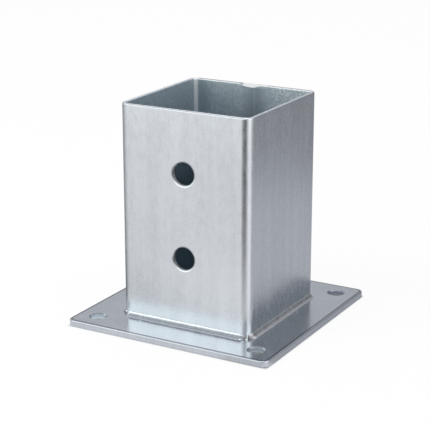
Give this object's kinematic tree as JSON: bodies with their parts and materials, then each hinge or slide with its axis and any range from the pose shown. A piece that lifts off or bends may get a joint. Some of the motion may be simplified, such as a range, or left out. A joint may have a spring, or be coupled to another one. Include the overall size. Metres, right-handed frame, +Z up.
{
  "type": "timber post base",
  "caption": "Bolt-down post base: square steel sleeve with cross-bolt holes, open at the top, welded upright on a square plate with anchor holes.",
  "frame": {"origin": "centre of the base plate's underside, below the tube's axis", "axes": "+Z up along the tube towards its open rim; -Y out of the front wall and +Y out of the back wall, the two walls with the cross-bolt holes; +X to the right of the front wall"},
  "size_m": [0.15, 0.15, 0.15],
  "materials": {
    "plated_plate": "bright zinc plated, satin",
    "plated_tube": "bright zinc plated, drawn lengthwise, satin",
    "weld_metal": "zinc plated weld bead, slightly discoloured"
  },
  "bodies": {
    "root": {"base_plate": "plated_plate", "post_socket": "plated_tube", "weld_front": "weld_metal", "weld_right": "weld_metal", "weld_back": "weld_metal", "weld_left": "weld_metal"}
  },
  "joints": []
}
